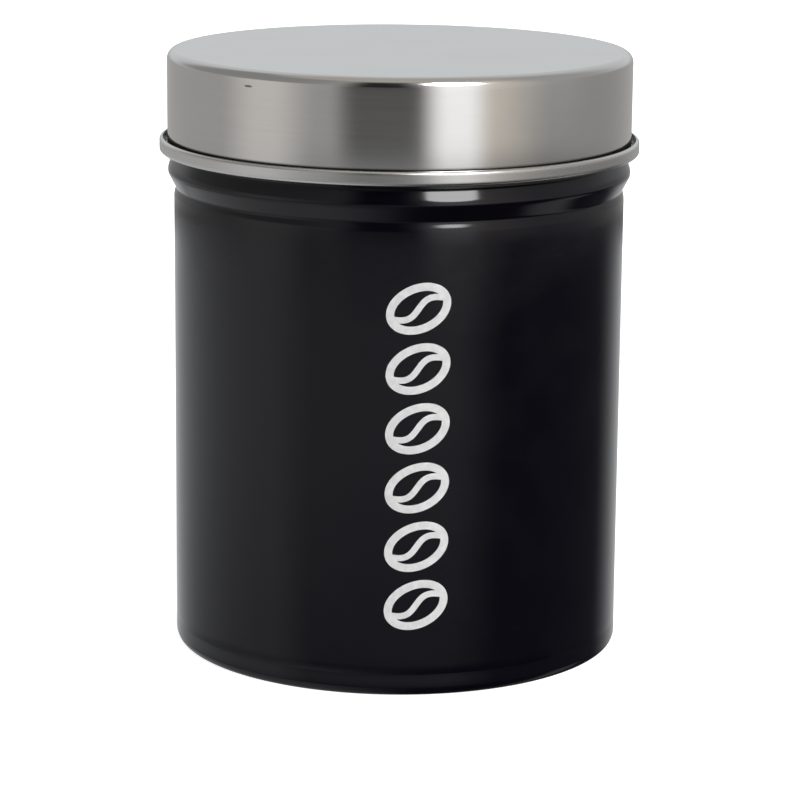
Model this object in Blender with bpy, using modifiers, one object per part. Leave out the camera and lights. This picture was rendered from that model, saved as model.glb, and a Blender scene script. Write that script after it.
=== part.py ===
"""A round kitchen coffee tin: lacquered steel body, seamed bottom end and a push-on stainless lid.

Every piece is turned about the tin's vertical axis, which is the world Z axis. The tin stands on
z = 0. Units are metres. Sheet metal pieces are drawn as the middle line of their sheet, turned
with Screw and thickened evenly to both sides with Solidify.
"""
import math

import bpy

# Overall sizes
HEIGHT = 0.1400               # from the table to the top of the lid
BODY_RADIUS = 0.0525          # outside of the straight body wall
LID_RADIUS = 0.0540           # outside of the lid's wall
HEM_RADIUS = 0.05585          # outside of the rolled hem round the lid's lower edge
SEGMENTS = 48                 # flats round every turned piece
FIT_GAP = 0.0003              # clearance between pieces that touch on the real tin

# Sheet thicknesses
BODY_SHEET = 0.0004
LID_SHEET = 0.0005

# Body: heights and radii of its outside
NECK_RADIUS = 0.0528          # neck that the lid slides over
MOUTH_ROLL_RADIUS = 0.0012    # outside radius of the inward roll round the mouth
MOUTH_TOP = 0.1374
MOUTH_ROLL_END = 290.0        # degrees round the roll where its cut edge lies
BEAD_RADIUS = 0.0539          # stop bead below the neck
BEAD_TOP = 0.1156
BEAD_CREST = 0.1125
GROOVE_RADIUS = 0.05220       # shallow groove below the bead
GROOVE_HEIGHT = 0.1089
WALL_TOP = 0.1059             # where the straight wall starts
SEAM_SHOULDER = 0.0038        # where the wall steps in to make room for the seam
SEAM_NECK = 0.0030
BODY_END = 0.0010             # cut edge of the wall, inside the seam

# Bottom end: a countersunk disc whose edge is hooked round the body wall
SEAM_RADIUS = 0.05265         # outside of the seam
SEAM_TOP = 0.0029
SEAM_ROUND_WIDTH = 0.00095    # the seam's lower outer corner is a quarter of an ellipse
SEAM_ROUND_HEIGHT = 0.0017
CHUCK_CORNER = 0.00045        # inner lower corner of the seam
PANEL_HEIGHT = 0.0040         # the disc's middle line above the table
PANEL_CORNER = 0.0015
RING_START = 0.0360           # stiffening ring pressed into the disc
RING_END = 0.0410
RING_SLOPE = 0.0012
RING_RISE = 0.0006

# Lid
LID_CORNER = 0.0022           # outside radius between the top and the wall
HEM_BOTTOM = 0.1164
HEM_TOP = 0.1199
HEM_CLOSING = 25.0            # degrees that the hem's cut edge turns in past its top

# Seal: a moulded ring in the lid's corner, with a lip that goes inside the mouth
SEAL_THICKNESS = 0.0015
SEAL_INNER_RADIUS = 0.0489
SEAL_LIP_WIDTH = 0.0011
SEAL_LIP_DEPTH = 0.0017
SEAL_EDGE = 0.00025

# Colours, roughness and metallic value of each piece
FINISHES = {
    "body_shell": ((0.012, 0.012, 0.014), 0.12, 0.0),
    "base_end": ((0.014, 0.014, 0.016), 0.18, 0.0),
    "lid_shell": ((0.62, 0.61, 0.59), 0.28, 1.0),
    "lid_seal": ((0.80, 0.80, 0.78), 0.45, 0.0),
}


def clear_scene():
    """Remove whatever the scene holds."""
    for item in list(bpy.data.objects):
        bpy.data.objects.remove(item, do_unlink=True)


def new_collection(name):
    collection = bpy.data.collections.new(name)
    bpy.context.scene.collection.children.link(collection)
    return collection


def new_material(name):
    """A Principled material from the FINISHES entry of the same name."""
    colour, roughness, metallic = FINISHES[name]
    material = bpy.data.materials.new(name)
    material.use_nodes = True
    shader = material.node_tree.nodes["Principled BSDF"]
    shader.inputs["Base Color"].default_value = (*colour, 1.0)
    shader.inputs["Roughness"].default_value = roughness
    shader.inputs["Metallic"].default_value = metallic
    return material


def arc(centre, radius, start, end, steps):
    """Points on a circle, or on an ellipse where radius is (width, height), from start to end degrees."""
    width, height = radius if isinstance(radius, tuple) else (radius, radius)
    points = []
    for i in range(steps + 1):
        angle = math.radians(start + (end - start) * i / steps)
        points.append((centre[0] + width * math.cos(angle), centre[1] + height * math.sin(angle)))
    return points


def ease(start, end, steps):
    """Points from start to end that leave and arrive vertically, along half a cosine wave."""
    points = []
    for i in range(1, steps + 1):
        part = i / steps
        blend = (1.0 - math.cos(math.pi * part)) / 2.0
        radius = start[0] + (end[0] - start[0]) * blend
        points.append((radius, start[1] + (end[1] - start[1]) * part))
    return points


def turn(name, outline, collection, sheet=None, closed=False):
    """Turn an outline of (radius, height) points once round Z into an object called name."""
    count = len(outline)
    edges = [(i, i + 1) for i in range(count - 1)]
    if closed:
        edges.append((count - 1, 0))
    mesh = bpy.data.meshes.new(name)
    mesh.from_pydata([(radius, 0.0, height) for radius, height in outline], edges, [])
    piece = bpy.data.objects.new(name, mesh)
    collection.objects.link(piece)
    piece.data.materials.append(new_material(name))

    screw = piece.modifiers.new("turn", "SCREW")
    screw.steps = SEGMENTS
    screw.render_steps = SEGMENTS
    screw.use_merge_vertices = True
    screw.merge_threshold = 0.00001
    screw.use_smooth_shade = True
    if sheet:
        thicken = piece.modifiers.new("sheet", "SOLIDIFY")
        thicken.thickness = sheet
        thicken.offset = 0.0
        thicken.use_even_offset = True
    return piece


def body_outline():
    """The body wall, from the cut edge of its mouth roll down to its cut edge in the seam."""
    half = BODY_SHEET / 2.0
    roll_radius = MOUTH_ROLL_RADIUS - half
    roll_centre = (NECK_RADIUS - MOUTH_ROLL_RADIUS, MOUTH_TOP - MOUTH_ROLL_RADIUS)
    outline = arc(roll_centre, roll_radius, MOUTH_ROLL_END, 0.0, 9)

    stations = [
        (NECK_RADIUS - half, BEAD_TOP),
        (BEAD_RADIUS - half, BEAD_CREST),
        (GROOVE_RADIUS - half, GROOVE_HEIGHT),
        (BODY_RADIUS - half, WALL_TOP),
    ]
    outline.append(stations[0])
    for start, end, steps in zip(stations, stations[1:], (4, 5, 3)):
        outline += ease(start, end, steps)

    neck_middle = SEAM_RADIUS - BODY_SHEET - FIT_GAP - half
    outline.append((BODY_RADIUS - half, SEAM_SHOULDER))
    outline += ease((BODY_RADIUS - half, SEAM_SHOULDER), (neck_middle, SEAM_NECK), 2)
    outline.append((neck_middle, BODY_END))
    return outline


def base_outline():
    """The bottom end, from its centre out to the cut edge of its seaming hook."""
    half = BODY_SHEET / 2.0
    hook = SEAM_RADIUS - half
    chuck = hook - 2.0 * (BODY_SHEET + FIT_GAP)
    outline = [
        (0.0, PANEL_HEIGHT),
        (RING_START, PANEL_HEIGHT),
        (RING_START + RING_SLOPE, PANEL_HEIGHT + RING_RISE),
        (RING_END - RING_SLOPE, PANEL_HEIGHT + RING_RISE),
        (RING_END, PANEL_HEIGHT),
    ]
    panel_centre = (chuck - PANEL_CORNER, PANEL_HEIGHT - PANEL_CORNER)
    outline += arc(panel_centre, PANEL_CORNER, 90.0, 0.0, 3)
    outline += arc((chuck + CHUCK_CORNER, half + CHUCK_CORNER), CHUCK_CORNER, 180.0, 270.0, 2)
    round_centre = (hook - SEAM_ROUND_WIDTH, half + SEAM_ROUND_HEIGHT)
    outline += arc(round_centre, (SEAM_ROUND_WIDTH, SEAM_ROUND_HEIGHT), 270.0, 360.0, 4)
    outline.append((hook, SEAM_TOP))
    return outline


def lid_outline():
    """The lid, from the centre of its top down its wall and round its rolled hem."""
    half = LID_SHEET / 2.0
    wall = LID_RADIUS - half
    corner = LID_CORNER - half
    outline = [(0.0, HEIGHT - half)]
    outline += arc((LID_RADIUS - LID_CORNER, HEIGHT - LID_CORNER), corner, 90.0, 0.0, 4)

    hem_radius = (HEM_RADIUS - half - wall) / 2.0
    hem_middle = wall + hem_radius
    outline += arc((hem_middle, HEM_BOTTOM + half + hem_radius), hem_radius, 180.0, 360.0, 6)
    top_centre = (hem_middle, HEM_TOP - half - hem_radius)
    outline += arc(top_centre, hem_radius, 0.0, 90.0 + HEM_CLOSING, 4)
    return outline


def seal_outline():
    """The seal's L-shaped section: round the lid's corner, down, and back up its inner side."""
    corner_radius = LID_CORNER - LID_SHEET - FIT_GAP
    corner_centre = (LID_RADIUS - LID_CORNER, HEIGHT - LID_CORNER)
    top = corner_centre[1] + corner_radius
    under = top - SEAL_THICKNESS
    lip_outer = SEAL_INNER_RADIUS + SEAL_LIP_WIDTH
    lip_bottom = under - SEAL_LIP_DEPTH
    return arc(corner_centre, corner_radius, 90.0, 0.0, 3) + [
        (corner_centre[0] + corner_radius, under),
        (lip_outer, under),
        (lip_outer, lip_bottom),
        (SEAL_INNER_RADIUS, lip_bottom),
        (SEAL_INNER_RADIUS, top),
    ]


def soften_edges(piece, width):
    """Round the ring's long edges and leave the flats round it alone."""
    bevel = piece.modifiers.new("edges", "BEVEL")
    bevel.width = width
    bevel.segments = 1
    bevel.limit_method = "ANGLE"
    bevel.angle_limit = math.radians(60.0)


def group_under(name, pieces, collection):
    """Hang the pieces from an empty on the tin's axis."""
    empty = bpy.data.objects.new(name, None)
    empty.empty_display_size = 0.02
    collection.objects.link(empty)
    for piece in pieces:
        piece.parent = empty
    return empty


def build():
    clear_scene()
    tin = new_collection("coffee_tin")
    body = turn("body_shell", body_outline(), tin, sheet=BODY_SHEET)
    base = turn("base_end", base_outline(), tin, sheet=BODY_SHEET)
    lid = turn("lid_shell", lid_outline(), tin, sheet=LID_SHEET)
    seal = turn("lid_seal", seal_outline(), tin, closed=True)
    soften_edges(seal, SEAL_EDGE)
    group_under("tin_frame", [body, base], tin)
    group_under("lid_frame", [lid, seal], tin)


build()
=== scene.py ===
"""Looks of the coffee tin: finely turned metal, gloss lacquer, satin steel, print, studio and camera.

Lengths are metres in the CAD frame: the tin's axis is Z, it stands on z = 0 and its printed front
faces -Y. Profiles are lists of (radius, height) points.
"""
import math
from collections import namedtuple

import bpy
from mathutils import Matrix, Vector, noise


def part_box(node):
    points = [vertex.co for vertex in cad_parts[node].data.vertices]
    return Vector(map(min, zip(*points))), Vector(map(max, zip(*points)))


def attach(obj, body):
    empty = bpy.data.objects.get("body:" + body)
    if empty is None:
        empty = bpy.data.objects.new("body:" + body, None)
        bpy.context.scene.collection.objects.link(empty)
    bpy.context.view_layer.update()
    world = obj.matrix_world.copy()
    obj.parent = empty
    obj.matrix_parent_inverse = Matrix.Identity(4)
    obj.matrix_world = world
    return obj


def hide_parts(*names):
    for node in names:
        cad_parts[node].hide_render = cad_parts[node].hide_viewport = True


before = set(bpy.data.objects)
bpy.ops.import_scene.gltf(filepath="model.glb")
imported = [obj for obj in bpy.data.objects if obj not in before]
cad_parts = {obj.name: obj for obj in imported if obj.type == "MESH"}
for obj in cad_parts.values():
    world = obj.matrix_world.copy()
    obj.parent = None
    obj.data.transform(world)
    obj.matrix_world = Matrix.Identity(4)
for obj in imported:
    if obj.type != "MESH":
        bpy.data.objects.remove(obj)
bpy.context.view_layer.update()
BODY_LOW, BODY_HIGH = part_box("body_shell")
BASE_LOW, BASE_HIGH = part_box("base_end")
LID_LOW, LID_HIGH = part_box("lid_shell")
SEAL_LOW, SEAL_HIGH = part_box("lid_seal")

# Turned pieces
TURN_STEPS = 360              # flats round a turned piece
ON_AXIS = 1e-6                # a point closer to the axis than this lies on it
BODY_SHEET = 0.0004
LID_SHEET = 0.0005
SHARP_ANGLE = math.radians(40.0)

# Body, from its CAD box
MOUTH_TOP = BODY_HIGH.z
BEAD_RADIUS = BODY_HIGH.x
NECK_RADIUS = BEAD_RADIUS - 0.0011
WALL_RADIUS = BEAD_RADIUS - 0.0014
MOUTH_ROLL = 0.0012           # outside radius of the inward roll
MOUTH_ROLL_END = 300.0        # degrees round the roll where the sheet's edge lies
BEAD_TOP = MOUTH_TOP - 0.0217
# Stretches down the bead and the groove: the height of each, and its slope outwards at its end
BEAD_BENDS = (
    (0.0002, 0.38),           # out from the neck
    (0.0022, 0.38),
    (0.0012, 0.00),           # crest
    (0.0008, -0.525),
    (0.0027, -0.525),
    (0.0005, 0.00),           # groove
    (0.0006, 0.26),
    (0.0006, 0.26),
    (0.0010, 0.00),           # wall
)
WALL_TOP = BEAD_TOP - sum(height for height, _ in BEAD_BENDS)
WALL_FOOT = BASE_LOW.z + 0.0039
WALL_TURN_IN = 0.00045        # how far the wall's foot steps in behind the seam
WALL_TURN_HEIGHT = 0.0008

# Base seam: the bottom end's hook, and the lacquer that fills the groove above it
SEAM_RADIUS = BASE_HIGH.x - 0.0001
SEAM_TOP = BASE_LOW.z + 0.0030
SEAM_ROUND = (0.00095, 0.0017)    # half width and height of the hook's rounded foot
FILL_TOP = BASE_LOW.z + 0.0052
FILL_LOW = BASE_LOW.z + 0.0022
FILL_DEPTH = 0.0004
FILL_RISE = 0.00001           # the filling lies this far over the wall and the hook
FILL_STEPS = 12
CHUCK_STEP_IN = 0.0014        # from the hook in to the countersink's wall
CHUCK_CORNER = 0.00045
PANEL_CORNER = 0.0015
PANEL_RADIUS = WALL_RADIUS - 0.0015   # what the inside shows of the bottom end
RING_START = 0.0355
RING_WIDTH = 0.0060
RING_RISE = 0.0006
RING_STEPS = 16

# The body's lapped side weld and the sheet's waves
WELD_ANGLE = math.radians(90.0)   # at the back, towards +Y
WELD_WIDTH = 0.0016
WELD_RISE = 0.00018
WELD_SQUARENESS = 8           # exponent of the lap's bell curve: the higher, the flatter its top
INNER_SIDE = NECK_RADIUS - 0.0006     # the wall's inner side lies within this radius
BODY_WAVE = 0.00004           # how far rolled sheet strays from a true cylinder
BODY_WAVE_SIZE = 0.030
WAVE_FADE = 0.010             # the waves die out over this height towards the rolled ends
WAVE_FLATTENING = 0.6         # below 1, the waves are longer up the tin than round it

# Lid, from its CAD box
LID_TOP = LID_HIGH.z
HEM_RADIUS = LID_HIGH.x
HEM_BOTTOM = LID_LOW.z
LID_RADIUS = HEM_RADIUS - 0.00185
LID_CORNER = 0.0022
HEM_HEIGHT = 0.0034
HEM_FOLD = 0.00055            # height of the fold at its foot
HEM_TIP = 0.00045             # radius of the curl at the hem's edge
WALL_DRAW_IN = 0.00006        # the wall draws in this much towards the hem
WALL_DRAW_HEIGHT = 0.0090
WALL_DRAW_STEPS = 12
LID_INNER_SIDE = LID_RADIUS - LID_SHEET / 2.0
LID_INNER_LOW = HEM_BOTTOM + 0.001
LID_WAVE = 0.00003
LID_WAVE_SIZE = 0.025

# Seal
SEAL_INNER = 0.0489
SEAL_WASHER = 0.0015
SEAL_LIP = 0.0011
SEAL_CORNER = 0.0014
SEAL_FILLET = 0.0003          # where the lip meets the washer
SEAL_EDGE = 0.0001            # the washer's lower edge
SEAL_LIP_END = 0.00045        # half of the lip's rounded end

# Print: a column of outlined coffee beans on the front
BEAN_COUNT = 6
PRINT_LOW = 0.0146
PRINT_HIGH = 0.0958
PRINT_WIDTH = 0.0150
PRINT_TURN = math.radians(5.0)    # the column stands a little to the right of the front
BEAN_TILT = math.radians(24.0)
BEAN_SLIMNESS = 0.68
OUTLINE_STROKE = 0.0018
CREASE_STROKE = 0.0014
CREASE_SWING = 0.26           # the crease swings this share of the bean's half height
CREASE_TUCK = 0.3             # its ends run this share of the stroke under the outline
OUTLINE_STEPS = 96
CREASE_STEPS = 60
INK_RISE = 0.00005
# The ink film's section: (share of the stroke's width, share of the rise); it starts below the wall
INK_SECTION = ((-0.5, -0.6), (-0.5, 0.6), (-0.36, 1.0), (0.36, 1.0), (0.5, 0.6), (0.5, -0.6))

# A small nick in the lid's wall, left of the front: a dent, with painted shade in it
NICK_AZIMUTH = math.radians(-38.0)
NICK_HEIGHT = LID_TOP - 0.0035
NICK_HALF_LENGTH = 0.0010
NICK_HALF_HEIGHT = 0.00028

# Painted shade in the hem's trough, and the hem's rougher finish: each pair is the height or radius
# where a mark begins, and the one where it is full
TROUGH_FROM_ABOVE = (HEM_BOTTOM + HEM_HEIGHT + 0.0007, HEM_BOTTOM + HEM_HEIGHT)
TROUGH_FROM_BELOW = (HEM_BOTTOM + 0.0006, HEM_BOTTOM + 0.0012)
TROUGH_FROM_OUTSIDE = (HEM_RADIUS - 0.0007, HEM_RADIUS - 0.0012)
HEM_FROM_WALL = (LID_RADIUS + 0.0002, LID_RADIUS + 0.0006)

# Materials; colours are linear red, green and blue with an alpha of 1
STEEL_DULL = (0.612, 0.604, 0.592, 1.0)
STEEL_BRIGHT = (0.636, 0.628, 0.616, 1.0)
STEEL_WIPED = (0.575, 0.560, 0.540, 1.0)
# painted shade for the crevice in the hem's trough
TROUGH_PAINTED_SHADE = (0.09, 0.085, 0.08, 1.0)
# painted shade in the nick
NICK_SHADE = (0.20, 0.195, 0.19, 1.0)
LACQUER_DEEP = (0.0016, 0.0011, 0.0034, 1.0)
LACQUER_PALE = (0.0022, 0.0017, 0.0040, 1.0)
LACQUER_DUST = (0.05, 0.05, 0.052, 1.0)
LACQUER_IOR = 1.42
SHEET_DULL = (0.565, 0.555, 0.535, 1.0)
SHEET_BRIGHT = (0.610, 0.600, 0.580, 1.0)
SHEET_CLOUD = (0.42, 0.41, 0.39, 1.0)
SHEET_GRAIN_ROUND = 260.0     # how fast the bare sheet's grain changes round the axis, and up it
SHEET_GRAIN_UP = 30.0
INK_THIN = (0.66, 0.66, 0.662, 1.0)
INK_FULL = (0.74, 0.74, 0.742, 1.0)
SILICONE_GREY = (0.72, 0.72, 0.70, 1.0)
SILICONE_MILK = (0.82, 0.82, 0.80, 1.0)

# Camera; its lens and sensor are in millimetres
CAMERA_DISTANCE = 0.743
CAMERA_HEIGHT = 0.2269
CAMERA_PITCH = math.radians(12.918)
CAMERA_YAW = math.radians(0.052)
CAMERA_ROLL = math.radians(0.519)
CAMERA_LENS = 144.4
CAMERA_SENSOR = 36.0

# Studio, seen from the tin. Azimuth 0 is the front and 90 is +X; angles are in degrees. Below
# TABLE_EDGE is a dark table and above it a dim room. Panels cover them, a later one over an earlier.
TABLE_EDGE = -9.5
TABLE_EDGE_SOFT = 0.4
TABLE_COLOUR = (0.066, 0.070, 0.080, 1.0)
ROOM_COLOUR = (0.440, 0.433, 0.424, 1.0)
Panel = namedtuple("Panel", "colour strength azimuth half_width soft low high low_soft high_soft")
STUDIO = (
    # the pale wall behind the tin, and its foot on the table
    Panel((0.945, 0.98, 1.00), 0.72, 180, 50, 25, 3, 95, 6, 5),
    Panel((0.98, 0.99, 1.00), 0.62, 180, 40, 17, -22, -9.9, 5, 0.4),
    # the table near the tin: black on the right, with a pale strip at the far right
    Panel((1.00, 1.00, 1.00), 0.03, 75, 60, 30, -95, -20, 3, 3),
    Panel((1.00, 1.00, 1.00), 0.45, 104, 12, 7, -95, -23, 3, 2),
    # the table further off: grey in front and lighter on the left
    Panel((0.96, 0.98, 1.00), 0.46, -12, 54, 16, -17, -10.2, 5, 1.2),
    Panel((0.96, 0.98, 1.00), 0.67, -115, 60, 12, -19, -9.9, 7, 0.4),
    # the table near the tin on the left, pale
    Panel((0.97, 0.98, 1.00), 0.62, -100, 80, 38, -95, -22, 5, 3),
    # a darker wall high on the left, with a window strip below it
    Panel((1.00, 0.98, 0.96), 0.32, -85, 50, 15, 8, 58, 4, 5),
    Panel((1.00, 0.97, 0.93), 0.73, -69, 17, 13, -9.8, 5, 0.4, 4),
    # a warm wall on the right, and its dim far end
    Panel((1.00, 0.92, 0.82), 0.86, 46, 14, 22, -9.4, 55, 0.5, 15),
    Panel((1.00, 0.98, 0.96), 0.38, 118, 22, 16, -9.2, 6, 0.5, 4),
    # the ceiling
    Panel((1.00, 0.95, 0.88), 0.52, 0, 180, 1, 60, 95, 8, 5),
    # the dark camera, and its less dark stand
    Panel((1.00, 1.00, 1.00), 0.02, -8, 17, 10, -9.2, 52, 1.2, 8),
    Panel((1.00, 0.99, 0.97), 0.10, -8, 17, 10, -9.2, -2, 1.2, 3),
    # the bright diffuser beside the camera
    Panel((1.00, 1.00, 1.00), 1.42, 28, 12, 8, -9.9, 30, 0.8, 10),
)
LAMP_AZIMUTH = 28.0           # the round lamp, above the diffuser
LAMP_ELEVATION = 34.0
LAMP_HALF_WIDTH = 14.0
LAMP_HALF_HEIGHT = 18.0
LAMP_EDGE = 0.12              # softness of its edge, as a share of its size
LAMP_LIGHT = (14.0, 14.0, 14.0, 1.0)

# Stage
STAGE_RADIUS = 5.0
FLOOR_DROP = 0.0002
FLOOR_COLOUR = (0.60, 0.60, 0.60, 1.0)
FLOOR_GLOW = 0.90
BACKDROP_COLOUR = (0.0, 0.0, 0.0, 1.0)
BACKDROP_GLOW = 1.2
GLOW_LIGHT = (1.0, 1.0, 1.0, 1.0)


# ---------------------------------------------------------------- profiles

def arc(centre, radius, start, end, steps):
    """Points round a circle, from start to end degrees, or an ellipse if radius is (width, height)."""
    width, height = radius if isinstance(radius, tuple) else (radius, radius)
    points = []
    for i in range(steps + 1):
        angle = math.radians(start + (end - start) * i / steps)
        points.append((centre[0] + width * math.cos(angle), centre[1] + height * math.sin(angle)))
    return points


def parts_of(steps):
    """The shares of a way after its start, up to 1, in equal steps."""
    return [i / steps for i in range(1, steps + 1)]


def line(start, end, steps):
    """Points after start, up to end, on a straight line."""
    return [(start[0] + (end[0] - start[0]) * part, start[1] + (end[1] - start[1]) * part)
            for part in parts_of(steps)]


def ease(start, end, steps):
    """Points after start, up to end, that leave and arrive vertically along half a cosine wave."""
    points = []
    for part in parts_of(steps):
        blend = (1.0 - math.cos(math.pi * part)) / 2.0
        points.append((start[0] + (end[0] - start[0]) * blend, start[1] + (end[1] - start[1]) * part))
    return points


def bend(start, height, slope, next_slope, steps):
    """Points after start, down over a height, while the slope outwards changes evenly."""
    points = []
    for part in parts_of(steps):
        mean_slope = slope + (next_slope - slope) * part / 2.0
        points.append((start[0] + mean_slope * height * part, start[1] - height * part))
    return points


def offset(profile, distance):
    """The profile moved sideways, to the left of its direction for a positive distance."""
    moved = []
    last = len(profile) - 1
    for i, point in enumerate(profile):
        before = Vector(profile[max(i - 1, 0)])
        after = Vector(profile[min(i + 1, last)])
        along = (after - before).normalized()
        moved.append((max(point[0] - along.y * distance, 0.0), point[1] + along.x * distance))
    return moved


def sheet_loop(middle, thickness):
    """A closed loop round a sheet's middle line: along one side and back along the other."""
    return offset(middle, thickness / 2.0) + offset(middle, -thickness / 2.0)[::-1]


def body_profile():
    """The middle line of the body's sheet, from the cut edge in its mouth roll down into the seam."""
    half = BODY_SHEET / 2.0
    roll_centre = (NECK_RADIUS - MOUTH_ROLL, MOUTH_TOP - MOUTH_ROLL)
    profile = arc(roll_centre, MOUTH_ROLL - half, MOUTH_ROLL_END, 0.0, 30)
    neck = (NECK_RADIUS - half, BEAD_TOP)
    foot = (WALL_RADIUS - half, WALL_FOOT)
    hidden = (foot[0] - WALL_TURN_IN, WALL_FOOT - WALL_TURN_HEIGHT)
    profile += line(profile[-1], neck, 6)
    slope = 0.0
    for height, next_slope in BEAD_BENDS:
        profile += bend(profile[-1], height, slope, next_slope, 6)
        slope = next_slope
    profile += line(profile[-1], foot, 30)
    profile += ease(foot, hidden, 8)
    profile += line(hidden, (hidden[0], BODY_LOW.z), 2)
    return profile


def base_profile():
    """The middle line of the bottom end, from its centre out to the cut edge of its hook."""
    half = BODY_SHEET / 2.0
    hook = SEAM_RADIUS - half
    chuck = hook - CHUCK_STEP_IN
    panel = BASE_HIGH.z - half - RING_RISE
    profile = [(0.0, panel)]
    profile += line(profile[0], (RING_START, panel), 24)
    for part in parts_of(RING_STEPS):
        swell = (1.0 - math.cos(2.0 * math.pi * part)) / 2.0
        profile.append((RING_START + RING_WIDTH * part, panel + RING_RISE * swell))
    profile += line(profile[-1], (chuck - PANEL_CORNER, panel), 6)
    profile += arc((chuck - PANEL_CORNER, panel - PANEL_CORNER), PANEL_CORNER, 90.0, 0.0, 10)[1:]
    profile += arc((chuck + CHUCK_CORNER, half + CHUCK_CORNER), CHUCK_CORNER, 180.0, 270.0, 6)
    profile += arc((hook - SEAM_ROUND[0], half + SEAM_ROUND[1]), SEAM_ROUND, 270.0, 360.0, 14)
    profile += line(profile[-1], (hook, SEAM_TOP), 3)
    return profile


def fill_loop():
    """The section of the lacquer that fills the groove between the wall and the seam."""
    outer = ease((WALL_RADIUS + FILL_RISE, FILL_TOP), (SEAM_RADIUS + FILL_RISE, FILL_LOW), FILL_STEPS)
    inner = []
    for i, point in enumerate(outer):
        depth = FILL_DEPTH * math.sin(math.pi * (i + 0.5) / FILL_STEPS)
        inner.append((point[0] - depth, point[1]))
    return outer + inner[::-1]


def lid_profile():
    """The middle line of the lid, from the centre of its top down its wall and round its hem."""
    half = LID_SHEET / 2.0
    wall = LID_RADIUS - half
    corner = (LID_RADIUS - LID_CORNER, LID_TOP - LID_CORNER)
    profile = [(0.0, LID_TOP - half)]
    profile += line(profile[0], (corner[0], LID_TOP - half), 40)
    profile += arc(corner, LID_CORNER - half, 90.0, 0.0, 16)[1:]

    outer = HEM_RADIUS - half
    inner = wall - WALL_DRAW_IN
    fold = (outer - inner) / 2.0
    low = HEM_BOTTOM + half + HEM_FOLD
    draw_start = low + WALL_DRAW_HEIGHT
    profile += line(profile[-1], (wall, draw_start), 16)
    for part in parts_of(WALL_DRAW_STEPS):
        profile.append((wall - WALL_DRAW_IN * part * part, draw_start - WALL_DRAW_HEIGHT * part))
    profile += arc((inner + fold, low), (fold, HEM_FOLD), 180.0, 360.0, 24)[1:]
    tip_height = HEM_BOTTOM + HEM_HEIGHT - half - HEM_TIP
    profile += line(profile[-1], (outer, tip_height), 6)
    profile += arc((outer - HEM_TIP, tip_height), HEM_TIP, 0.0, 100.0, 10)[1:]
    return profile


def seal_loop():
    """The seal's closed section: a washer under the lid's top, with a centring lip in the mouth."""
    outer = SEAL_HIGH.x
    top = SEAL_HIGH.z
    under = top - SEAL_WASHER
    lip = SEAL_INNER + SEAL_LIP
    lip_low = SEAL_LOW.z + SEAL_LIP_END
    profile = arc((outer - SEAL_CORNER, top - SEAL_CORNER), SEAL_CORNER, 90.0, 0.0, 10)
    profile += arc((outer - SEAL_EDGE, under + SEAL_EDGE), SEAL_EDGE, 0.0, -90.0, 3)[1:]
    profile += line(profile[-1], (lip + SEAL_FILLET, under), 10)
    profile += arc((lip + SEAL_FILLET, under - SEAL_FILLET), SEAL_FILLET, 90.0, 180.0, 5)[1:]
    profile += arc((lip - SEAL_LIP_END, lip_low), SEAL_LIP_END, 0.0, -90.0, 6)
    profile += arc((SEAL_INNER + SEAL_LIP_END, lip_low), SEAL_LIP_END, -90.0, -180.0, 6)
    profile += arc((SEAL_INNER + SEAL_FILLET, top - SEAL_FILLET), SEAL_FILLET, 180.0, 90.0, 5)
    return profile


# ---------------------------------------------------------------- turned meshes

def mesh_piece(name, vertices, faces):
    """A smooth-shaded mesh object with its sharp edges kept."""
    mesh = bpy.data.meshes.new(name)
    mesh.from_pydata(vertices, [], faces)
    mesh.validate()
    mesh.shade_smooth()
    mesh.set_sharp_from_angle(angle=SHARP_ANGLE)
    piece = bpy.data.objects.new(name, mesh)
    bpy.context.scene.collection.objects.link(piece)
    return piece


def lathe(name, loop, move=None):
    """Turn a closed loop of profile points into an object. Points on the axis become one vertex.

    move(point, angle) may shift each vertex, for what isn't perfectly round.
    """
    vertices = []
    rows = []
    for radius, height in loop:
        if radius < ON_AXIS:
            rows.append([len(vertices)])
            vertices.append(Vector((0.0, 0.0, height)))
            continue
        row = []
        for k in range(TURN_STEPS):
            angle = 2.0 * math.pi * k / TURN_STEPS
            point = Vector((radius * math.cos(angle), radius * math.sin(angle), height))
            row.append(len(vertices))
            vertices.append(move(point, angle) if move else point)
        rows.append(row)
    faces = []
    for upper, lower in zip(rows, rows[1:] + rows[:1]):
        if len(upper) == 1 and len(lower) == 1:
            continue
        for k in range(TURN_STEPS):
            following = (k + 1) % TURN_STEPS
            if len(upper) == 1:
                faces.append((upper[0], lower[k], lower[following]))
            elif len(lower) == 1:
                faces.append((upper[k], lower[0], upper[following]))
            else:
                faces.append((upper[k], lower[k], lower[following], upper[following]))
    return mesh_piece(name, vertices, faces)


def strayed(point, amount, size, seed):
    """The point moved in or out by smooth noise, as thin sheet is never a true cylinder."""
    where = Vector((point.x, point.y, point.z * WAVE_FLATTENING)) / size + Vector((seed, seed, seed))
    outward = Vector((point.x, point.y, 0.0))
    if outward.length < ON_AXIS:
        return point
    return point + outward.normalized() * amount * noise.noise(where)


def body_move(point, angle):
    """Rolled sheet's slight waves, and the lapped side weld at the back."""
    is_inner = math.hypot(point.x, point.y) < INNER_SIDE
    high_fade = min(1.0, max(0.0, (WALL_TOP - point.z) / WAVE_FADE))
    low_fade = min(1.0, max(0.0, (point.z - FILL_TOP) / WAVE_FADE))
    point = strayed(point, BODY_WAVE * high_fade * low_fade, BODY_WAVE_SIZE, seed=3.1)
    away = (angle - WELD_ANGLE) * WALL_RADIUS
    lap = math.exp(-((away / WELD_WIDTH) ** WELD_SQUARENESS)) * WELD_RISE
    outward = Vector((point.x, point.y, 0.0)).normalized()
    return point + outward * (-lap if is_inner else lap)


def lid_move(point, _angle):
    """The lid's drawn top and wall are a little uneven."""
    return strayed(point, LID_WAVE, LID_WAVE_SIZE, seed=7.7)


# ---------------------------------------------------------------- print

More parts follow.
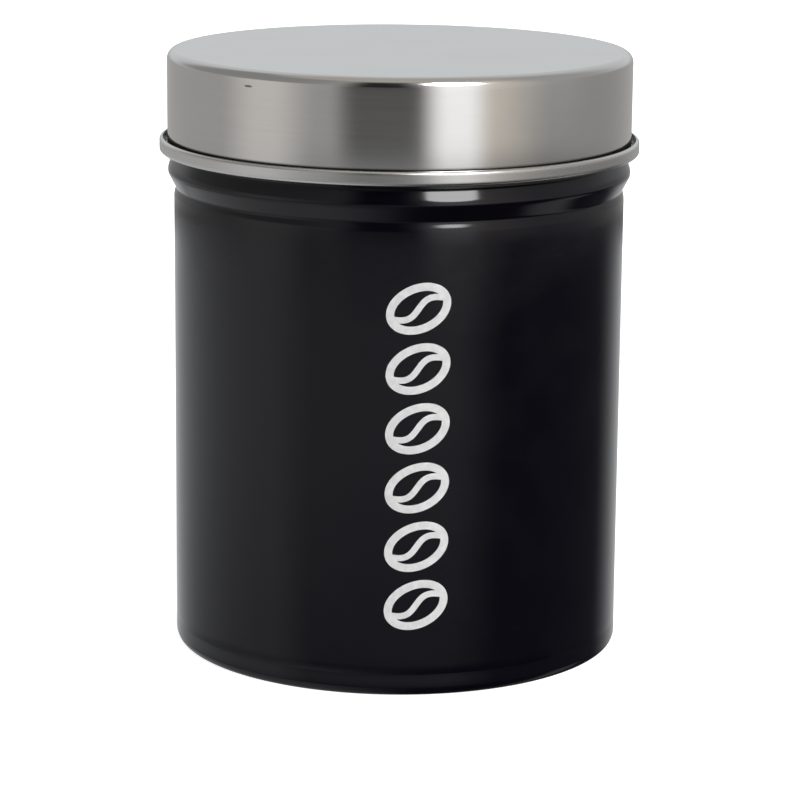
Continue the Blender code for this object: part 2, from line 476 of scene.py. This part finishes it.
def ribbon(path, closed, width):
    """Vertices, as (across, up, rise), and faces of a flat stroke along a path of 2D points."""
    count = len(path)
    vertices, faces = [], []
    for i, point in enumerate(path):
        before = path[(i - 1) % count] if closed or i > 0 else point
        after = path[(i + 1) % count] if closed or i < count - 1 else point
        along = (after - before).normalized()
        side = Vector((along.y, -along.x))
        for share, rise in INK_SECTION:
            place = point + side * (share * width)
            vertices.append((place.x, place.y, rise * INK_RISE))
    ring = len(INK_SECTION)
    for i in range(count if closed else count - 1):
        here, there = i * ring, ((i + 1) % count) * ring
        for k in range(ring):
            following = (k + 1) % ring
            faces.append((here + k, here + following, there + following, there + k))
    if not closed:
        faces.append(tuple(range(ring))[::-1])
        faces.append(tuple((count - 1) * ring + k for k in range(ring)))
    return vertices, faces


def bean_paths():
    """The centre lines of a bean's outline and of the wavy crease inside it, lying along X."""
    half_long = PRINT_WIDTH / 2.0 - OUTLINE_STROKE / 2.0
    half_short = half_long * BEAN_SLIMNESS
    outline = []
    for k in range(OUTLINE_STEPS):
        angle = 2.0 * math.pi * k / OUTLINE_STEPS
        outline.append(Vector((half_long * math.cos(angle), half_short * math.sin(angle))))
    reach = half_long - OUTLINE_STROKE * CREASE_TUCK
    crease = []
    for k in range(CREASE_STEPS + 1):
        part = -1.0 + 2.0 * k / CREASE_STEPS
        crease.append(Vector((reach * part, half_short * CREASE_SWING * math.sin(math.pi * part))))
    return outline, crease


def print_column(name):
    """Outlined beans one above the other, wrapped on the body's front as a film of ink."""
    outline, crease = bean_paths()
    strokes = ((outline, True, OUTLINE_STROKE), (crease, False, CREASE_STROKE))
    pitch = (PRINT_HIGH - PRINT_LOW) / BEAN_COUNT
    turned = Matrix.Rotation(BEAN_TILT, 2)
    vertices, faces = [], []
    for bean in range(BEAN_COUNT):
        height = PRINT_LOW + pitch * (bean + 0.5)
        for path, closed, width in strokes:
            points, sides = ribbon([turned @ point for point in path], closed, width)
            first = len(vertices)
            for across, up, rise in points:
                angle = PRINT_TURN + across / WALL_RADIUS
                reach = WALL_RADIUS + rise
                vertices.append((reach * math.sin(angle), -reach * math.cos(angle), height + up))
            faces += [tuple(first + k for k in side) for side in sides]
    return mesh_piece(name, vertices, faces)


# ---------------------------------------------------------------- material helpers

class Nodes:
    """A short way to write a material's or a world's nodes."""

    def __init__(self, tree):
        self.tree = tree

    def add(self, kind, **settings):
        node = self.tree.nodes.new(kind)
        for key, value in settings.items():
            setattr(node, key, value)
        return node

    def put(self, socket, value):
        """Link another node's socket to this one, or set a plain value."""
        if isinstance(value, bpy.types.NodeSocket):
            self.tree.links.new(value, socket)
        else:
            socket.default_value = value

    def math(self, operation, a, b=0.0):
        node = self.add("ShaderNodeMath", operation=operation)
        self.put(node.inputs[0], a)
        self.put(node.inputs[1], b)
        return node.outputs[0]

    def ramp(self, value, low, high, to_low=0.0, to_high=1.0):
        """Map a value smoothly from low..high to to_low..to_high and hold it beyond."""
        node = self.add("ShaderNodeMapRange", clamp=True, interpolation_type="SMOOTHSTEP")
        for socket, setting in zip(node.inputs, (value, low, high, to_low, to_high)):
            self.put(socket, setting)
        return node.outputs[0]

    def mix(self, share, a, b):
        node = self.add("ShaderNodeMix", data_type="RGBA")
        self.put(node.inputs[0], share)
        self.put(node.inputs[6], a)
        self.put(node.inputs[7], b)
        return node.outputs[2]

    def noise(self, vector, scale, detail=2.0, roughness=0.5):
        node = self.add("ShaderNodeTexNoise")
        self.put(node.inputs["Vector"], vector)
        node.inputs["Scale"].default_value = scale
        node.inputs["Detail"].default_value = detail
        node.inputs["Roughness"].default_value = roughness
        return node.outputs[0]

    def vector(self, x, y, z):
        node = self.add("ShaderNodeCombineXYZ")
        for socket, value in zip(node.inputs, (x, y, z)):
            self.put(socket, value)
        return node.outputs[0]

    def bump(self, height, distance, strength, normal=None):
        node = self.add("ShaderNodeBump")
        node.inputs["Strength"].default_value = strength
        node.inputs["Distance"].default_value = distance
        self.put(node.inputs["Height"], height)
        if normal:
            self.put(node.inputs["Normal"], normal)
        return node.outputs[0]


def new_material(name):
    """A material, a short way to write its nodes, and its shader."""
    material = bpy.data.materials.new(name)
    material.use_nodes = True
    return material, Nodes(material.node_tree), material.node_tree.nodes["Principled BSDF"]


def hypotenuse(n, a, b):
    """The length of a step of a one way and b across it."""
    return n.math("SQRT", n.math("ADD", n.math("POWER", a, 2.0), n.math("POWER", b, 2.0)))


class Place:
    """Where a point of the surface is: its position, and its distance and direction from the axis."""

    def __init__(self, n):
        self.where = n.add("ShaderNodeTexCoord").outputs["Object"]
        parts = n.add("ShaderNodeSeparateXYZ")
        n.put(parts.inputs[0], self.where)
        self.x, self.y, self.z = parts.outputs
        self.radius = hypotenuse(n, self.x, self.y)
        divisor = n.math("MAXIMUM", self.radius, 0.0001)
        self.east = n.math("DIVIDE", self.x, divisor)
        self.north = n.math("DIVIDE", self.y, divisor)


def turned_lines(n, place, along, across):
    """Noise drawn out round the axis: slow along the turning direction and quick across it."""
    path = n.math("SUBTRACT", place.radius, place.z)
    vector = n.vector(
        n.math("MULTIPLY", place.east, along),
        n.math("MULTIPLY", place.north, along),
        n.math("MULTIPLY", path, across),
    )
    return n.noise(vector, 1.0, detail=3.0, roughness=0.6)


def near_point(n, place, centre, size):
    """1 at a point (x, z) of the front, fading to 0 at the given half lengths along X and Z from it."""
    shares = []
    for socket, middle, reach in zip((place.x, place.z), centre, size):
        shares.append(n.math("POWER", n.math("DIVIDE", n.math("SUBTRACT", socket, middle), reach), 2.0))
    near = n.ramp(n.math("ADD", *shares), 1.0, 0.3)
    on_front = n.ramp(place.y, 0.0, -0.01)
    return n.math("MULTIPLY", near, on_front)


def satin_steel():
    """Lathe-polished stainless steel: satin, with faint lines round the axis, wipe marks, a nick, and
    painted shade in the nick and in the hem's trough.
    """
    material, n, shader = new_material("satin_steel")
    place = Place(n)
    fine = turned_lines(n, place, 3.0, 7000.0)
    broad = turned_lines(n, place, 2.0, 900.0)
    wipes = n.noise(place.where, 42.0, detail=5.0, roughness=0.6)
    lines = n.math("ADD", n.math("MULTIPLY", fine, 0.5), n.math("MULTIPLY", broad, 0.5))

    by_hem = n.math(
        "MULTIPLY", n.ramp(place.z, *TROUGH_FROM_ABOVE), n.ramp(place.z, *TROUGH_FROM_BELOW)
    )
    in_shaded_trough = n.math("MULTIPLY", by_hem, n.ramp(place.radius, *TROUGH_FROM_OUTSIDE))
    on_hem = n.ramp(place.radius, *HEM_FROM_WALL)
    nick_x = LID_RADIUS * math.sin(NICK_AZIMUTH)
    nick = near_point(n, place, (nick_x, NICK_HEIGHT), (NICK_HALF_LENGTH, NICK_HALF_HEIGHT))

    colour = n.mix(n.ramp(lines, 0.3, 0.7), STEEL_DULL, STEEL_BRIGHT)
    colour = n.mix(n.ramp(wipes, 0.45, 0.85, 0.0, 0.3), colour, STEEL_WIPED)
    # painted shade: the hem's trough is darkened where the crevice lies in shade
    colour = n.mix(in_shaded_trough, colour, TROUGH_PAINTED_SHADE)
    # painted shade darkens the nick
    colour = n.mix(nick, colour, NICK_SHADE)
    n.put(shader.inputs["Base Color"], colour)

    rough = n.math("ADD", n.ramp(lines, 0.25, 0.75, 0.100, 0.115), n.ramp(wipes, 0.35, 0.80, 0.0, 0.030))
    rough = n.math("ADD", rough, n.math("MULTIPLY", in_shaded_trough, 0.20))
    rough = n.math("ADD", rough, n.math("MULTIPLY", on_hem, 0.15))
    n.put(shader.inputs["Roughness"], rough)
    shader.inputs["Metallic"].default_value = 1.0
    n.put(shader.inputs["Normal"], n.bump(nick, -0.00012, 0.6, n.bump(broad, 0.000002, 0.10)))
    return material


def black_lacquer():
    """Stoved gloss lacquer on steel: a faint orange peel, fine dust and a few hairline rubs."""
    material, n, shader = new_material("black_lacquer")
    place = Place(n)
    peel = n.noise(place.where, 520.0)
    swell = n.noise(place.where, 90.0)
    dust = n.noise(place.where, 2600.0, detail=1.0)
    rubs = turned_lines(n, place, 7.0, 5200.0)

    colour = n.mix(n.ramp(swell, 0.3, 0.7), LACQUER_DEEP, LACQUER_PALE)
    colour = n.mix(n.ramp(dust, 0.80, 0.84, 0.0, 0.5), colour, LACQUER_DUST)
    n.put(shader.inputs["Base Color"], colour)

    worn = n.math("MULTIPLY", n.ramp(rubs, 0.62, 0.80, 0.0, 0.10), n.ramp(swell, 0.45, 0.70))
    n.put(shader.inputs["Roughness"], n.math("ADD", n.ramp(swell, 0.3, 0.7, 0.09, 0.13), worn))
    shader.inputs["IOR"].default_value = LACQUER_IOR
    n.put(shader.inputs["Normal"], n.bump(swell, 0.0002, 0.05, n.bump(peel, 0.00002, 0.20)))
    return material


def bare_steel():
    """Inside surfaces: clear-lacquered sheet with upright rolling lines."""
    material, n, shader = new_material("bare_steel")
    place = Place(n)
    drawn = n.vector(
        n.math("MULTIPLY", place.east, SHEET_GRAIN_ROUND),
        n.math("MULTIPLY", place.north, SHEET_GRAIN_ROUND),
        n.math("MULTIPLY", place.z, SHEET_GRAIN_UP),
    )
    grain = n.noise(drawn, 1.0, detail=4.0, roughness=0.6)
    clouds = n.noise(place.where, 45.0, detail=3.0)
    colour = n.mix(n.ramp(grain, 0.3, 0.7), SHEET_DULL, SHEET_BRIGHT)
    colour = n.mix(n.ramp(clouds, 0.4, 0.8, 0.0, 0.3), colour, SHEET_CLOUD)
    n.put(shader.inputs["Base Color"], colour)
    n.put(shader.inputs["Roughness"], n.ramp(grain, 0.3, 0.7, 0.26, 0.38))
    shader.inputs["Metallic"].default_value = 1.0
    n.put(shader.inputs["Normal"], n.bump(grain, 0.000008, 0.3))
    return material


def white_ink():
    """Screen-printed white: slightly uneven cover and a satin surface."""
    material, n, shader = new_material("white_ink")
    cover = n.noise(n.add("ShaderNodeTexCoord").outputs["Object"], 700.0, detail=3.0)
    colour = n.mix(n.ramp(cover, 0.35, 0.7), INK_THIN, INK_FULL)
    n.put(shader.inputs["Base Color"], colour)
    n.put(shader.inputs["Roughness"], n.ramp(cover, 0.3, 0.7, 0.30, 0.42))
    n.put(shader.inputs["Normal"], n.bump(cover, 0.00001, 0.4))
    return material


def silicone():
    """Milky moulded silicone with a faint skin."""
    material, n, shader = new_material("silicone")
    where = n.add("ShaderNodeTexCoord").outputs["Object"]
    skin = n.noise(where, 900.0, detail=3.0)
    clouds = n.noise(where, 60.0)
    colour = n.mix(n.ramp(clouds, 0.3, 0.7), SILICONE_GREY, SILICONE_MILK)
    n.put(shader.inputs["Base Color"], colour)
    n.put(shader.inputs["Roughness"], n.ramp(skin, 0.3, 0.7, 0.38, 0.52))
    shader.inputs["Subsurface Weight"].default_value = 0.25
    shader.inputs["Subsurface Scale"].default_value = 0.002
    n.put(shader.inputs["Normal"], n.bump(skin, 0.00002, 0.4))
    return material


# ---------------------------------------------------------------- the tin

def paint_inside(piece, material, is_inside):
    """Give the faces for which is_inside(centre, normal) holds a second material."""
    piece.data.materials.append(material)
    for face in piece.data.polygons:
        if is_inside(face.center, face.normal):
            face.material_index = 1


def inside_body(centre, normal):
    faces_axis = normal.x * centre.x + normal.y * centre.y < 0.0
    return faces_axis and centre.z < MOUTH_TOP - MOUTH_ROLL


def inside_base(centre, normal):
    faces_up = normal.z > 0.3
    return faces_up and math.hypot(centre.x, centre.y) < PANEL_RADIUS


def inside_lid(centre, normal):
    within = math.hypot(centre.x, centre.y) < LID_INNER_SIDE and centre.z > LID_INNER_LOW
    faces_axis = normal.x * centre.x + normal.y * centre.y < 0.0
    return within and (faces_axis or normal.z < 0.0)


def place_piece(piece, material, body, node=None):
    """Finish a piece: its material comes first, then what it stands for and rides on."""
    piece.data.materials.append(material)
    if node:
        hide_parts(node)
    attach(piece, body)


def build_tin():
    """The four pieces of the tin, the lacquer in the seam's groove and the print."""
    lacquer = black_lacquer()
    plain = bare_steel()

    body = lathe("body_wall", sheet_loop(body_profile(), BODY_SHEET), body_move)
    place_piece(body, lacquer, "tin", "body_shell")
    paint_inside(body, plain, inside_body)

    base = lathe("bottom_end", sheet_loop(base_profile(), BODY_SHEET))
    place_piece(base, lacquer, "tin", "base_end")
    paint_inside(base, plain, inside_base)

    fill = lathe("seam_lacquer", fill_loop())
    place_piece(fill, lacquer, "tin")

    lid = lathe("lid_cap", sheet_loop(lid_profile(), LID_SHEET), lid_move)
    place_piece(lid, satin_steel(), "lid", "lid_shell")
    paint_inside(lid, plain, inside_lid)

    seal = lathe("seal_ring", seal_loop())
    place_piece(seal, silicone(), "seal", "lid_seal")

    beans = print_column("bean_print")
    place_piece(beans, white_ink(), "tin")


# ---------------------------------------------------------------- studio

def turn_from(n, parts, azimuth):
    """How far a direction lies from an azimuth, in radians either way."""
    x, y, _ = parts
    turn = math.radians(azimuth)
    sine = math.sin(turn)
    cosine = math.cos(turn)
    ahead = n.math("SUBTRACT", n.math("MULTIPLY", x, sine), n.math("MULTIPLY", y, cosine))
    aside = n.math("ADD", n.math("MULTIPLY", x, cosine), n.math("MULTIPLY", y, sine))
    return n.math("ABSOLUTE", n.math("ARCTAN2", aside, ahead))


def between(n, value, low, high, low_soft, high_soft):
    """1 where an angle is between two soft limits given in degrees, and 0 outside them."""
    above = n.ramp(value, math.radians(low - low_soft), math.radians(low + low_soft))
    below = n.ramp(value, math.radians(high + high_soft), math.radians(high - high_soft))
    return n.math("MULTIPLY", above, below)


def panel_share(n, parts, rise, panel):
    """How far a direction is inside a soft-edged panel, 0 to 1."""
    wide = n.ramp(
        turn_from(n, parts, panel.azimuth),
        math.radians(panel.half_width + panel.soft),
        math.radians(panel.half_width - panel.soft),
    )
    tall = between(n, rise, panel.low, panel.high, panel.low_soft, panel.high_soft)
    return n.math("MULTIPLY", wide, tall)


def lamp_share(n, parts, rise):
    """How far a direction is inside the round lamp, 0 to 1."""
    across = n.math("DIVIDE", turn_from(n, parts, LAMP_AZIMUTH), math.radians(LAMP_HALF_WIDTH))
    above = n.math("SUBTRACT", rise, math.radians(LAMP_ELEVATION))
    up = n.math("DIVIDE", above, math.radians(LAMP_HALF_HEIGHT))
    return n.ramp(hypotenuse(n, across, up), 1.0 + LAMP_EDGE, 1.0 - LAMP_EDGE)


def build_world():
    """The studio's light and what the metal reflects: room, table, panels and a round lamp."""
    world = bpy.data.worlds.new("studio")
    bpy.context.scene.world = world
    world.use_nodes = True
    n = Nodes(world.node_tree)
    separate = n.add("ShaderNodeSeparateXYZ")
    n.put(separate.inputs[0], n.add("ShaderNodeTexCoord").outputs["Generated"])
    parts = separate.outputs
    rise = n.math("ARCSINE", parts[2])
    edge_low = math.radians(TABLE_EDGE - TABLE_EDGE_SOFT)
    edge_high = math.radians(TABLE_EDGE + TABLE_EDGE_SOFT)
    light = n.mix(n.ramp(rise, edge_low, edge_high), TABLE_COLOUR, ROOM_COLOUR)
    for panel in STUDIO:
        red, green, blue = (panel.strength * channel for channel in panel.colour)
        light = n.mix(panel_share(n, parts, rise, panel), light, (red, green, blue, 1.0))
    light = n.mix(lamp_share(n, parts, rise), light, LAMP_LIGHT)
    n.put(world.node_tree.nodes["Background"].inputs["Color"], light)


def glow_material(name, colour, glow):
    """A matt surface that is also lit from behind, like a light table."""
    material, _, shader = new_material(name)
    shader.inputs["Base Color"].default_value = colour
    shader.inputs["Roughness"].default_value = 0.9
    shader.inputs["Specular IOR Level"].default_value = 0.0
    shader.inputs["Emission Color"].default_value = GLOW_LIGHT
    shader.inputs["Emission Strength"].default_value = glow
    return material


def build_stage():
    """A white light table and a white backdrop, which neither light nor show in the tin."""
    bpy.ops.mesh.primitive_circle_add(
        vertices=64, radius=STAGE_RADIUS, fill_type="NGON", location=(0.0, 0.0, -FLOOR_DROP)
    )
    floor = bpy.context.object
    floor.name = "floor"
    floor.data.materials.append(glow_material("table_white", FLOOR_COLOUR, FLOOR_GLOW))
    floor.visible_diffuse = False
    floor.visible_glossy = False
    floor.visible_shadow = False

    bpy.ops.mesh.primitive_uv_sphere_add(segments=48, ring_count=24, radius=STAGE_RADIUS)
    dome = bpy.context.object
    dome.name = "backdrop"
    dome.data.materials.append(glow_material("backdrop_white", BACKDROP_COLOUR, BACKDROP_GLOW))
    dome.visible_diffuse = False
    dome.visible_glossy = False
    dome.visible_transmission = False
    dome.visible_shadow = False


def build_camera():
    """The camera in front of the tin, looking a little down on it."""
    data = bpy.data.cameras.new("camera")
    data.sensor_width = CAMERA_SENSOR
    data.lens = CAMERA_LENS
    data.clip_start = 0.01
    data.clip_end = 100.0
    camera = bpy.data.objects.new("camera", data)
    bpy.context.scene.collection.objects.link(camera)
    turn = Matrix.Rotation(-CAMERA_YAW, 4, "Z")
    tilt = Matrix.Rotation(math.pi / 2.0 - CAMERA_PITCH, 4, "X")
    roll = Matrix.Rotation(CAMERA_ROLL, 4, "Z")
    place = Matrix.Translation((0.0, -CAMERA_DISTANCE, CAMERA_HEIGHT))
    camera.matrix_world = place @ turn @ tilt @ roll
    bpy.context.scene.camera = camera


build_camera()
build_world()
build_stage()
build_tin()

scene = bpy.context.scene
scene.view_settings.view_transform = "Standard"
scene.view_settings.look = "None"
